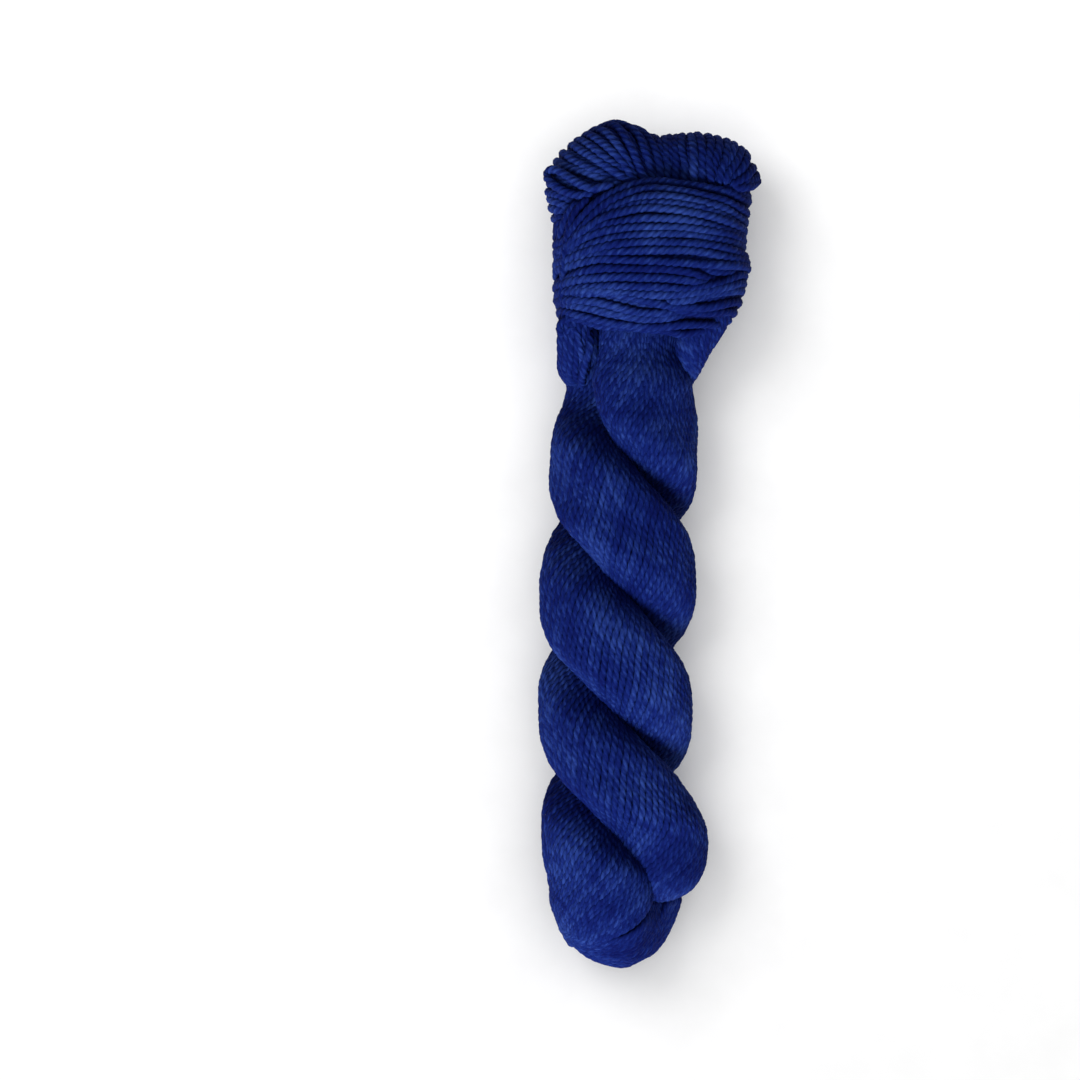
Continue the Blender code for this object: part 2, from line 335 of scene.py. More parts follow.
CREST_UNDER = 0.9  # how deep one more lies between each two, in radii
CREST_CROWDING = 0.9  # how far every other one dips where they crowd, in radii
CREST_SPREAD = 0.013  # they crowd for this far from the band
EDGE_LEVEL = 0.80  # they bend over the edge from here, 1 at the edge itself
CREST_MIDDLE_X = 0.0010  # the crest's ends round off past a reach from this middle
CREST_REACH = 0.0275
CREST_END_LENGTH = 0.0052
CREST_BEHIND = 0.036  # how far each runs on below, out of sight
SIDE_LOOP = metres((
    # x, y of the loop on the crest's left end, seen from above
    (-114, 1062), (-139, 1056), (-174, 1050), (-204, 1062), (-234, 1081), (-262, 1102),
    (-286, 1116), (-303, 1115), (-309, 1101), (-303, 1086), (-287, 1069), (-264, 1053),
    (-238, 1040), (-209, 1033), (-174, 1036),
))
SIDE_LOOP_INNER = 0.97  # it takes its height from the crest this much nearer the middle
# Two strands down the band's left side, given in the same way
FLANK_LINES = tuple(metres(line).reshape(-1, 2) for line in (
    (-190, 1032, -212, 1011, -229, 994, -242, 968, -255, 929, -262, 890),
    (-225, 1020, -249, 992, -264, 968, -276, 935, -284, 900),
))
FLANK_BEHIND = 0.020
HIGHEST = 0.060  # above every form
PULL_STEP = 0.0003  # between the points of a strand pulled over a form

# The strands in each shoulder, and how far they turn down it, in radians
LEFT_STRANDS = (15, 0.5)
RIGHT_STRANDS = (22, -2.6)
UNDER_RIGHT_STRANDS = (23, -0.8)

# Three strands that stand loose on the left shoulder: a strand beside it, a curl and an arch
LOOSE_STRANDS = (
    # radius, then x, y, z of its points
    (0.00138, metres((
        (-180, 640, 290), (-182, 605, 305), (-186, 575, 308), (-196, 548, 300), (-202, 520, 280),
        (-206, 495, 240), (-202, 478, 185)))),
    (0.00125, metres((
        (-205, 660, 330), (-237, 671, 330), (-262, 665, 324), (-273, 645, 316), (-262, 626, 312),
        (-244, 624, 300)))),
    (0.00105, metres((
        (-256, 616, 305), (-248, 634, 325), (-235, 642, 332), (-222, 632, 334), (-214, 605, 326),
        (-209, 575, 312), (-206, 545, 285)))),
)

# The core, this deep under the strands
CORE_DEPTH = 0.0017
CORE_TUCK = 0.0028  # it draws in under the crest by this
CORE_TUCK_Y = 0.0970
CORE_TUCK_LENGTH = 0.0090
CORE_TOP_Y = 0.070
CORE_STEP = 0.0018
CORE_END = 0.0010  # its parts start and end this far past the rope's own ends
CORE_SECOND_END = -0.1030
CORE_BAND = (0.1060, 0.0650, -0.0016)  # from y, to y, step
CORE_CREST = (-0.0285, 0.0270, 0.0018)  # from x, to x, step
CORE_LEAST = 0.001  # it never gets thinner than this
CORE_TAIL_ARC = 0.47 * math.pi  # how far it follows the tail's rounding

# The second map of a piece fills a square with its strands, cut into rows
MAP_FILL = 0.9  # the share of it that they take
MAP_SPARE = 1.15  # more room for the last row, which isn't full
MAP_WIDTH = 0.985  # a row's length
MAP_MARGIN = 0.06  # left free at each side of a row, as a share of it

# The yarn's colours and grain, and the painted shade in its grooves and deep in the core
DYE_SCALE = 45.0
PLY_SCALE = (420.0, 420.0, 1.0)
FIBRE_SCALE = (800.0, 4500.0, 1.0)
FIBRE_RELIEF = 0.00020
FIBRE_STRENGTH = 0.6
TONE_BY_STRAND = 0.10
TONE_BY_PLY = 0.7
TONE_BY_FIBRE = 1.5
YARN_STOPS = (
    (0.15, (0.0008, 0.0038, 0.064)),
    (0.50, (0.0033, 0.0130, 0.124)),
    (0.90, (0.0230, 0.0560, 0.262)),
)
# Painted shade: the colour and strength of the darkening in the ply grooves and on the strands'
# flanks
GROOVE_SHADE_COLOUR = (0.0004, 0.0010, 0.042)
GROOVE_SHADE = 0.60
YARN_ROUGHNESS = (0.2, 0.72)
YARN_SPECULAR = 0.05
FELT_SCALE = 900.0
FELT_RELIEF = 0.0004
PAPER_SCALE = 60.0
# Painted shade: the core is near black for the shade deep between the strands
CORE_SHADE_STOPS = ((0.3, (0.0015, 0.003, 0.030)), (0.75, (0.004, 0.009, 0.080)))
PAPER_STOPS = ((0.3, (0.90, 0.90, 0.90)), (0.7, (0.93, 0.93, 0.93)))

# The studio and the camera, straight above the middle of the picture
FLOOR_SIZE = 6.0
LIGHT_TARGET = (-0.01, 0.0, 0.02)
WORLD_STRENGTH = 0.35
LIGHTS = (
    # name, place, size, power, lights the floor
    ("key", (-0.25, -0.85, 1.00), 0.60, 26.0, False),
    ("shadow", (-0.42, 0.32, 0.75), 0.50, 3.0, True),
    ("fill", (0.0, 0.0, 1.60), 2.40, 22.0, True),
)
PICTURE_X = -0.0330
PICTURE_Y = 0.00165
PICTURE_WIDTH = 0.324
MIDDLE_HEIGHT = 0.022
CAMERA_LENS = 100.0
SENSOR_WIDTH = 36.0

rng = np.random.default_rng(11)


# ---- the solid's surfaces
def ease(part):
    """0 to 1, slow at both ends."""
    part = np.clip(part, 0.0, 1.0)
    return part * part * (3 - 2 * part)


def curve_through(rows, position):
    """A smooth curve through the rows, read at positions counted in rows."""
    last = len(rows) - 1
    index = np.minimum(np.asarray(position).astype(int), last - 1)
    part = (position - index)[:, None]
    p0 = rows[np.maximum(index - 1, 0)]
    p1 = rows[index]
    p2 = rows[index + 1]
    p3 = rows[np.minimum(index + 2, last)]
    bend = 2 * p0 - 5 * p1 + 4 * p2 - p3
    twist = 3 * (p1 - p2) + p3 - p0
    return p1 + 0.5 * part * (p2 - p0 + part * (bend + part * twist))


def rope_at(y):
    """The rope's axis_x, reach and breadth at each y."""
    count = len(ROPE_ROWS)
    position = np.interp(-y, -ROPE_ROWS[:, 0], np.arange(count))
    index = np.minimum(position.astype(int), count - 2)
    part = ease(position - index)[:, None]
    values = ROPE_ROWS[index] + (ROPE_ROWS[index + 1] - ROPE_ROWS[index]) * part
    return values[:, 1], values[:, 2], values[:, 3]


def half_turns(y):
    """How many half turns the rope has made at y, counted from the first notch."""
    part = np.minimum((FIRST_NOTCH_Y - y) / (FIRST_NOTCH_Y - LAST_NOTCH_Y), 1)
    turns = HALF_TURNS * part - SLACK * np.sin(math.pi * np.maximum(part, 0))
    past = (turns - HEAD_TURN) / HEAD_EASE
    return HEAD_TURN + HEAD_EASE * (np.maximum(past, 0) + np.log1p(np.exp(-np.abs(past))))


def settle(turns, limit):
    """The turns, which slow down past the limit and stop a little after it."""
    past = np.maximum(turns - limit, 0)
    return np.minimum(turns, limit) + DRIFT * (1 - np.exp(-past / DRIFT))


def bundle_at(y, which):
    """A bundle's angle about the axis, its centre's distance from it, and half sizes."""
    axis_x, reach, breadth = rope_at(y)
    turns = half_turns(y)
    swell = np.zeros_like(y)
    size = np.ones_like(y)
    if which == "first":
        angle = math.pi * settle(turns, FRONT_TURNS)
    elif which == "second":
        angle = math.pi * settle(turns - 1, BULGE_TURNS)
        fill = HEAD_FILL * ease((y - FIRST_NOTCH_Y) / HEAD_FILL_LENGTH)
        breadth = breadth + fill
        swell = BULGE * np.exp(-((y - BULGE_Y) / BULGE_LENGTH) ** 2) + fill
        rounding = np.maximum((KNUCKLE_Y - y) / (KNUCKLE_Y - TAIL_Y), 0)
        size = np.sqrt(np.maximum(1 - rounding ** 4, 0))
    else:
        angle = np.full_like(y, math.pi)
        part = ease((RETURN_TOP_Y - y) / (RETURN_TOP_Y - TAIL_Y))
        size = np.where(y < RETURN_TOP_Y, RETURN_START + (RETURN_END - RETURN_START) * part, 0)
    offset = BUNDLE_OFFSET + SWELL_OUT * swell
    depth = size * (reach + swell - offset)
    return axis_x, angle, offset, depth, size * breadth


def on_bundle(y, which, around, inset):
    """Points and outward directions at an angle round a bundle's section, inset."""
    axis_x, angle, offset, depth, breadth = bundle_at(y, which)
    depth = np.maximum(depth - inset, LEAST_SIZE)
    breadth = np.maximum(breadth - inset, LEAST_SIZE)
    lean = (breadth - depth) / (breadth + depth)
    turn = around - 0.5 * lean * np.sin(2 * around)
    out = offset + depth * np.cos(turn)
    across = breadth * np.sin(turn)
    x = axis_x + out * np.sin(angle) + across * np.cos(angle)
    z = AXIS_HEIGHT + out * np.cos(angle) - across * np.sin(angle)
    facing_out = np.cos(turn) * breadth
    facing_across = np.sin(turn) * depth
    facing_x = facing_out * np.sin(angle) + facing_across * np.cos(angle)
    facing_z = facing_out * np.cos(angle) - facing_across * np.sin(angle)
    points = np.stack([x, y, z], axis=1)
    return points, unit(np.stack([facing_x, np.zeros_like(y), facing_z], axis=1))


def inside_bundle(points, which, margin):
    """Whether each point lies deeper than the margin in a bundle."""
    y = points[:, 1]
    axis_x, angle, offset, depth, breadth = bundle_at(y, which)
    x = points[:, 0] - axis_x
    z = points[:, 2] - AXIS_HEIGHT
    out = x * np.sin(angle) + z * np.cos(angle) - offset
    across = x * np.cos(angle) - z * np.sin(angle)
    depth = np.maximum(depth - margin, 1e-5)
    breadth = np.maximum(breadth - margin, 1e-5)
    return (out / depth) ** 2 + (across / breadth) ** 2 < 1


def rounded(angle, squareness):
    """A rounded square's reach at an angle, 1 on the axes."""
    across = np.abs(np.sin(angle)) ** squareness
    along = np.abs(np.cos(angle)) ** squareness
    return (across + along) ** (-1 / squareness)


def table_of(rows):
    """The rows drawn out finely, for reading at any value of their first column."""
    return curve_through(rows, np.linspace(0, len(rows) - 1, 40 * (len(rows) - 1) + 1))


BAND_TABLE = table_of(BAND_ROWS)
CREST_TABLE = table_of(CREST_ROWS)


def band_at(y):
    """The band's middle x, half width, middle height and half height at each y."""
    left, right, top = (np.interp(-y, -BAND_TABLE[:, 0], BAND_TABLE[:, k]) for k in (1, 2, 3))
    return (0.5 * (left + right), 0.5 * (right - left),
            0.5 * (top + BAND_UNDERSIDE), 0.5 * (top - BAND_UNDERSIDE))


def crest_at(x):
    """The crest's middle y, half length and thickness at each x."""
    low, high, thick = (np.interp(x, CREST_TABLE[:, 0], CREST_TABLE[:, k]) for k in (1, 2, 3))
    return 0.5 * (low + high), 0.5 * (high - low), thick


def band_surface(angle, y):
    """The band's skin. The angle is 0 on top and grows to the right."""
    middle_x, half_width, middle_z, half_height = band_at(y)
    reach = rounded(angle, BAND_SQUARENESS)
    x = middle_x + half_width * reach * np.sin(angle)
    z = middle_z + half_height * reach * np.cos(angle)
    return np.stack([x, y, z], axis=1)


def crest_surface(angle, x):
    """The crest's skin. The angle is 0 at its far end and grows upward."""
    middle, half_length, thick = crest_at(x)
    reach = rounded(angle, CREST_SQUARENESS)
    y = middle + half_length * reach * np.cos(angle)
    z = CREST_HEIGHT + thick * reach * np.sin(angle)
    return np.stack([x, y, z], axis=1)


def shoulder_surface(rows, position, angle):
    """A shoulder's skin, at a position counted in rows and an angle round its run."""
    last = len(rows) - 1
    here = curve_through(rows, position)
    ahead = curve_through(rows, np.minimum(position + 0.1, last))
    behind = curve_through(rows, np.maximum(position - 0.1, 0))
    run = unit(ahead[:, :3] - behind[:, :3])
    side = unit(np.cross(run, (0.0, 0.0, 1.0)))
    up = np.cross(side, run)
    facing = np.cos(angle)[:, None] * up + np.sin(angle)[:, None] * side
    return here[:, :3] + here[:, 3:4] * facing, facing


def unit(vectors):
    """The vectors at length 1."""
    return vectors / np.maximum(np.linalg.norm(vectors, axis=1, keepdims=True), 1e-12)


def outward(surface, first, second, middle, steps):
    """The skin's points and its directions away from the middle, by small steps over it."""
    ahead = surface(first + steps[0], second) - surface(first - steps[0], second)
    across = surface(first, second + steps[1]) - surface(first, second - steps[1])
    facing = unit(np.cross(ahead, across))
    points = surface(first, second)
    inward = np.sum(facing * (points - middle), axis=1) < 0
    facing[inward] *= -1
    return points, facing


# ---- strands
def wander(length, wavelength):
    """A slow random swing along a strand, about 1 at its widest."""
    swing = np.zeros_like(length)
    for share, size in ((1.0, 0.6), (0.53, 0.4), (0.29, 0.2)):
        phase = rng.uniform(0, 2 * math.pi)
        swing += size * np.sin(2 * math.pi * length / (wavelength * share) + phase)
    return swing


def along(points):
    """The length run at each point."""
    steps = np.linalg.norm(np.diff(points, axis=0), axis=1)
    return np.concatenate([[0.0], np.cumsum(steps)])


def strand(points, facing, radius, pitch, loose, lift=LIFT, tone=None):
    """A strand along the points: even steps, a little wander, its frame and its tone."""
    run = along(points)
    total = run[-1]
    count = max(int(round(total / (pitch / RINGS_PER_TURN))), 4) + 1
    places = np.linspace(0, total, count)
    centre = np.stack([np.interp(places, run, points[:, k]) for k in range(3)], axis=1)
    facing = np.stack([np.interp(places, run, facing[:, k]) for k in range(3)], axis=1)
    course = unit(np.gradient(centre, axis=0))
    facing = unit(facing - np.sum(facing * course, axis=1, keepdims=True) * course)
    side = np.cross(course, facing)
    centre = centre + loose * wander(places, SIDE_SWING)[:, None] * side
    centre = centre + lift * wander(places, LIFT_SWING)[:, None] * facing
    centre[:, 2] = np.maximum(centre[:, 2], FLOOR_REST * radius)
    sizes = np.full(count, radius) * (1 + GIRTH_CHANGE * wander(places, GIRTH_SWING))
    sizes[[0, -1]] *= END_SIZES[0]
    sizes[[1, -2]] *= END_SIZES[1]
    return {
        "centre": centre,
        "facing": facing,
        "side": side,
        "sizes": sizes,
        "places": places,
        "turn": rng.uniform(0, 2 * math.pi) - 2 * math.pi * places / pitch
        + TWIST_CHANGE * wander(places, TWIST_SWING),
        "tone": rng.uniform(-1, 1) if tone is None else tone,
    }


def rope_strand(points, facing):
    """A strand of the yarn under tension."""
    return strand(points, facing, ROPE_STRAND, ROPE_PITCH, ROPE_LOOSE)


def head_strand(points, facing, loose, **more):
    """A strand of the slack yarn round the head."""
    return strand(points, facing, HEAD_STRAND, HEAD_PITCH, loose, **more)


def through(rows, count):
    """That many points along a smooth curve through the rows."""
    return curve_through(rows, np.linspace(0, len(rows) - 1, count))


def runs_of(shown, least, grow):
    """The stretches of a strand that show, as slices, each grown a little."""
    edges = np.flatnonzero(np.diff(np.concatenate([[0], shown.astype(int), [0]])))
    for start, end in zip(edges[::2], edges[1::2]):
        if end - start >= least:
            yield slice(max(start - grow, 0), min(end + grow, len(shown)))


# ---- rope and tail
def strand_turn(y, column):
    """How far a bundle's strands have turned back against the lay at each y."""
    rows = np.array(STRAND_TURN_ROWS)
    rate = np.interp(-y, -rows[:, 0], rows[:, column])
    steps = 0.5 * (rate[1:] + rate[:-1]) * np.abs(np.diff(y))
    return np.concatenate([[0.0], np.cumsum(steps)])


def bundle_strands(which):
    """The strands round one bundle of the rope, where the others don't cover them."""
    y = np.linspace(ROPE_TOP_Y, TAIL_Y, round((ROPE_TOP_Y - TAIL_Y) / ROPE_SAMPLE) + 1)
    column = 1 if which == "first" else 2
    angle = bundle_at(y, which)[1]
    turn = (angle - angle[0]) + strand_turn(y, column)
    others = [name for name in ("first", "second", "return") if name != which]
    strands = []
    for k in range(BUNDLE_STRANDS):
        around = 2 * math.pi * k / BUNDLE_STRANDS - turn
        points, facing = on_bundle(y, which, around, ROPE_STRAND)
        hidden = np.zeros(len(y), bool)
        for name in others:
            hidden |= inside_bundle(points, name, HIDDEN_MARGIN)
        for part in runs_of(~hidden, least=8, grow=5):
            line, normals = points[part], facing[part]
            if which == "first" and part.stop == len(y):
                line, normals = with_tail(line, normals)
            strands.append(rope_strand(line, normals))
    return strands


def section_reach(angle):
    """How far the bundles reach from the rope's axis where the tail begins."""
    reach = np.zeros_like(angle)
    for which in ("first", "return"):
        values = bundle_at(np.array([TAIL_Y]), which)
        centre_angle, offset, depth, breadth = (value[0] for value in values[1:])
        across = np.sin(angle - centre_angle)
        ahead = np.cos(angle - centre_angle)
        square = (ahead / depth) ** 2 + (across / breadth) ** 2
        half = offset * ahead / depth ** 2
        root = half ** 2 - square * ((offset / depth) ** 2 - 1)
        found = (half + np.sqrt(np.maximum(root, 0))) / square
        reach = np.maximum(reach, np.where(root > 0, found, 0))
    return reach


def hull_of_section():
    """The tail's first section with its hollows bridged: its angles and its reaches."""
    angle = np.linspace(-math.pi, math.pi, 721)
    reach = section_reach(angle)
    slant = angle[None, ::6]
    facing = np.cos(angle[:, None] - slant)
    support = np.max(reach[:, None] * facing, axis=0)
    least = 0.05
    limits = np.where(facing > least, support[None, :] / np.maximum(facing, least), 1.0)
    return angle, limits.min(axis=1)


TAIL_SECTION = hull_of_section()


def outline_reach(angle):
    """How far the tail's outline reaches from the rope's axis, where it begins."""
    turned = (angle + math.pi) % (2 * math.pi) - math.pi
    return np.interp(turned, *TAIL_SECTION)


def tail_level(points):
    """1 on the tail's skin, less inside it and more outside."""
    x, y, z = points.T
    forward = np.maximum((TAIL_Y - y) / TAIL_LENGTH, 0)
    taper = (1 - TAIL_TAPER * forward) * np.sqrt(1 + forward ** 2)
    lateral = (x - ROPE_ROWS[-1][1]) / taper
    upward = z - AXIS_HEIGHT
    reach = outline_reach(np.arctan2(lateral, upward))
    return np.sqrt((lateral ** 2 + upward ** 2) / reach ** 2 + forward ** 2)


def rope_end(angle):
    """The point of the tail's skin at an angle round the rope's end."""
    reach = outline_reach(angle)
    x = ROPE_ROWS[-1][1] + reach * math.sin(angle)
    return np.array([x, TAIL_Y, AXIS_HEIGHT + reach * math.cos(angle)])


def over_tail(start, heading, offset, under=0.0, length=TAIL_RUN):
    """A strand over the tail. It starts at an offset from the skin and comes up to it."""
    points = pulled_over(tail_level, start, heading, length)
    facing = unit(slope_of(tail_level, points))
    fade = 1 - ease(along(points) / TAIL_JOIN)
    return points - (ROPE_STRAND + under) * facing + fade[:, None] * offset, facing


def with_tail(points, facing):
    """A first bundle's strand carried on over the tail, if it isn't deep inside there."""
    last = points[-1]
    angle = math.atan2(last[0] - ROPE_ROWS[-1][1], last[2] - AXIS_HEIGHT)
    start = rope_end(angle)
    if np.linalg.norm(start - last) > TAIL_INSIDE:
        return points, facing
    heading = unit(points[-1:] - points[-4:-3])[0]
    slope = unit(slope_of(tail_level, start[None, :]))
    more, more_facing = over_tail(start, heading, last - start + ROPE_STRAND * slope[0])
    return np.concatenate([points, more[3:]]), np.concatenate([facing, more_facing[3:]])


def tail_side_strands():
    """The strands round the tail's right side, a deeper layer all round, and the fan."""
    ways = []
    for angle in np.arange(*SIDE_STARTS, SIDE_STEP):
        slope = unit(slope_of(tail_level, rope_end(angle)[None, :]))[0]
        depth = SIDE_DEPTH if angle < SIDE_TOP else 0.0
        lean = np.interp(angle, SIDE_STARTS, SIDE_LEANS)
        ways.append((angle, lean, -depth * slope, 0.0, TAIL_RUN))
    for angle in np.arange(-math.pi, math.pi, UNDER_STEP):
        ways.append((angle, UNDER_LEAN, np.zeros(3), UNDER_DEPTH, UNDER_RUN))
    for lean in np.arange(*TIP_LEANS, TIP_STEP):
        ways.append((TIP_START, lean, np.zeros(3), UNDER_DEPTH, TIP_RUN))
    strands = []
    for angle, lean, offset, under, length in ways:
        heading = leaning(angle, lean)
        strands.append(rope_strand(*over_tail(rope_end(angle), heading, offset, under, length)))
    return strands


def leaning(angle, lean):
    """The way over the tail from an angle round the rope's end, leaning to the left."""
    round_it = np.array([-math.cos(angle), 0.0, math.sin(angle)])
    return math.sin(lean) * round_it - math.cos(lean) * np.array([0.0, 1.0, 0.0])


# ---- head
def band_line(k, angle):
    """A band strand's y at each angle round the band."""
    stations = np.arange(len(BAND_STATIONS), dtype=float)
    row = BAND_LINES[k][:, None]
    front = np.full(len(angle), row.mean())
    for _ in range(3):
        x = band_surface(angle, front)[:, 0]
        front = curve_through(row, np.interp(x, BAND_STATIONS, stations))[:, 0]
    place = k / (len(BAND_LINES) - 1)
    back = BAND_BACK[0] + (BAND_BACK[1] - BAND_BACK[0]) * place
    share = np.where(np.abs(angle) > 0.5 * math.pi, 1 - np.abs(np.sin(angle)) ** BAND_FAN, 0)
    return front + (back - front) * share


def band_strands():
    """The band's turns, each set a little under its neighbours where they crowd."""
    angle = np.linspace(-math.pi - BAND_OVERLAP, math.pi + BAND_OVERLAP, 480)
    lines = np.array([band_line(k, angle) for k in range(len(BAND_LINES))])
    strands = []
    for k, line in enumerate(lines):
        near = lines[[j for j in (k - 1, k + 1) if 0 <= j < len(lines)]]
        spacing = np.abs(near - line).min(axis=0)
        crowding = np.clip(1 - spacing / (BAND_CROWDED * HEAD_STRAND), 0, 1)
        under = BAND_LAYERS[k % len(BAND_LAYERS)] * crowding + under_others(k, angle, line)
        strands.append(band_strand(angle, line, under))
    for upper, lower in zip(lines, lines[1:]):
        open_between = np.abs(upper - lower) > BAND_GAP
        for part in runs_of(open_between, least=10, grow=12):
            line = 0.5 * (upper + lower)[part]
            place = np.linspace(0, 1, len(line))
            sunk = 1 - ease(np.minimum(place, 1 - place) / BAND_UNDER_ENDS)
            strands.append(band_strand(angle[part], line, BAND_UNDER + sunk))
    angle = np.linspace(*BAND_SIDES_RUN, 240)
    drop = BAND_SIDES_DROP[0] * ease((angle - 0.5 * math.pi) / (0.5 * math.pi))
    drop += BAND_SIDES_DROP[1] * np.maximum(-np.sin(angle), 0) ** BAND_FAN
    for y in BAND_SIDES:
        strands.append(band_strand(angle, y - drop, np.zeros(len(angle))))
    return strands


def band_strand(angle, line, under):
    """One turn of the band, set under its skin by its own radius and some more."""
    points, facing = outward(band_surface, angle, line, BAND_MIDDLE, (1e-3, 2e-4))
    depth = (HEAD_STRAND * (1 + under))[:, None]
    return head_strand(points - depth * facing, facing, BAND_LOOSE)


def under_others(k, angle, line):
    """How deep a strand dips under those that cross it, in strand radii."""
    x = band_surface(angle, line)[:, 0]
    front = np.abs(angle) < 0.5 * math.pi
    dip = np.zeros_like(angle)
    for crossed, start, end, depth in BAND_DIPS:
        if crossed == k:
            inside = ease((x - start) / BAND_DIP_LENGTH) * ease((end - x) / BAND_DIP_LENGTH)
            dip = dip + depth * inside * front
    return dip


def crest_level(points):
    """1 on the crest's skin, less inside it and more outside."""
    x, y, z = points.T
    middle, half_length, thick = crest_at(x)
    across = np.abs(y - middle) / half_length
    beyond = np.maximum(np.abs(x - CREST_MIDDLE_X) - CREST_REACH, 0) / CREST_END_LENGTH
    height = np.abs(z - CREST_HEIGHT) / thick
    return across ** CREST_SQUARENESS + height ** CREST_SQUARENESS + beyond ** CREST_SQUARENESS


def band_level(points):
    """1 on the band's skin, less inside it and more outside."""
    x, y, z = points.T
    middle_x, half_width, middle_z, half_height = band_at(y)
    across = np.abs(x - middle_x) / half_width
    height = np.abs(z - middle_z) / half_height
    return across ** BAND_SQUARENESS + height ** BAND_SQUARENESS


def slope_of(level, points):
    """How a form's level grows along each axis."""
    step = 1e-5
    slopes = []
    for axis in np.eye(3) * step:
        slopes.append((level(points + axis) - level(points - axis)) / (2 * step))
    return np.stack(slopes, axis=1)


def raised(level, path):
    """A path seen from above, raised on to a form's skin, up to where it runs off it."""
    low = np.full(len(path), CREST_HEIGHT)
    high = np.full(len(path), HIGHEST)
    for _ in range(26):
        middle = 0.5 * (low + high)
        inside = level(np.column_stack([path, middle])) < 1
        low = np.where(inside, middle, low)
        high = np.where(inside, high, middle)
    return np.column_stack([path, low])


def pulled_over(level, start, heading, length):
    """The way on of a strand pulled straight over a form's skin."""
    point, course = start, heading
    points = []
    for _ in range(int(length / PULL_STEP)):
        point = point + PULL_STEP * course
        for _ in range(2):
            slope = slope_of(level, point[None, :])[0]
            excess = level(point[None, :])[0] - 1
            point = point - excess * slope / max(slope @ slope, 1e-9)
        normal = slope / max(np.linalg.norm(slope), 1e-9)
        course = course - (course @ normal) * normal
        course = course / np.linalg.norm(course)
        if abs(level(point[None, :])[0] - 1) > 0.1:
            break
        points.append(point)
    return np.array(points)


def draped(level, line, length):
    """A strand on a form's skin along a line seen from above, and on round its edge."""
    path = through(line, 400)
    grade = level(np.column_stack([path, np.full(len(path), CREST_HEIGHT)]))
    shown = np.flatnonzero(grade < EDGE_LEVEL)
    path = path[:shown[-1] + 1] if len(shown) else path[:2]
    points = raised(level, path)
    heading = unit(points[-1:] - points[-6:-5])[0]
    points = np.concatenate([points, pulled_over(level, points[-1], heading, length)])
    return points, unit(slope_of(level, points))


def crest_line(line):
    """A crest strand's line from under the band outward, in evenly shared steps."""
    line = line[::-1]
    line = np.concatenate([[line[0] + CREST_START * (line[0] - line[1])], line])
    return through(line, 20)


def crest_strands():
    """The strands from under the band over the crest, and the two beside the band."""
    strands = []
    lines = [crest_line(line) for line in CREST_LINES]
    for k, line in enumerate(lines):
        points, facing = draped(crest_level, line, CREST_BEHIND)
        share = np.clip(1 - along(points) / CREST_SPREAD, 0, 1)
        depth = HEAD_STRAND * (1 + CREST_CROWDING * (k % 2) * share)[:, None]
        # Painted light: a lighter tone for the crest's strands
        tone = rng.uniform(*CREST_PAINTED_LIGHT_TONES)
        strands.append(head_strand(points - depth * facing, facing, CREST_LOOSE, tone=tone))
    for line, following in zip(lines, lines[1:]):
        points, facing = draped(crest_level, 0.5 * (line + following), CREST_BEHIND)
        depth = HEAD_STRAND * (1 + CREST_UNDER)
        strands.append(head_strand(points - depth * facing, facing, UNDER_LOOSE))
    for line in FLANK_LINES:
        points, facing = draped(band_level, line, FLANK_BEHIND)
        strands.append(head_strand(points - HEAD_STRAND * facing, facing, FINE_LOOSE))
    return strands


def shoulder_strands(rows, count, twist):
    """The strands down a shoulder, which turn slowly round its run."""
    strands = []
    last = len(rows) - 1
    position = np.linspace(0, last, 160)
    for k in range(count):
        angle = 2 * math.pi * k / count + twist * position / last
        points, facing = shoulder_surface(rows, position, angle)
        strands.append(rope_strand(points - ROPE_STRAND * facing, facing))
    return strands


def straight_up(points):
    """A direction for each point, all of them upward."""
    return np.tile((0.0, 0.0, 1.0), (len(points), 1))


def loose_strands():
    """The strands that stand loose beside the left shoulder."""
    strands = []
    for radius, line in LOOSE_STRANDS:
        points = through(line, 120)
        strands.append(strand(points, straight_up(points), radius, HEAD_PITCH, FINE_LOOSE))
    return strands


def side_loop():
    """The loose loop that lies on the crest's left end."""
    path = through(SIDE_LOOP, 300)
    inner = np.column_stack([SIDE_LOOP_INNER * path[:, 0], path[:, 1]])
    points = np.column_stack([path, raised(crest_level, inner)[:, 2] + 0.5 * HEAD_STRAND])
    # Painted light: the loop takes a light tone, like the crest's strands
    return head_strand(points, straight_up(points), FINE_LOOSE, lift=FINE_LOOSE, tone=1.0)


# ---- meshes
def rings_of(strands):
    """Every ring's centre, directions, size, turn and place, of all the strands together."""
    keys = ("centre", "facing", "side", "sizes", "turn", "places")
    return (np.concatenate([s[key] for s in strands]) for key in keys)


def faces_of(lengths):
    """The tubes' quads, their end caps, and the rings that start a row of quads."""
    count = STRAND_SIDES
    starts = np.concatenate([[0], np.cumsum(lengths)[:-1]])
    rings = np.concatenate([np.arange(a, a + n - 1) for a, n in zip(starts, lengths)])
    k = np.arange(count)
    following = (k + 1) % count
    base = rings[:, None] * count
    quads = np.stack([base + k, base + count + k, base + count + following, base + following],
                     axis=2).reshape(-1, 4)
    first_caps = starts[:, None] * count + k
    last_caps = (starts + np.array(lengths) - 1)[:, None] * count + k[::-1]
    return quads, np.concatenate([first_caps, last_caps]), rings


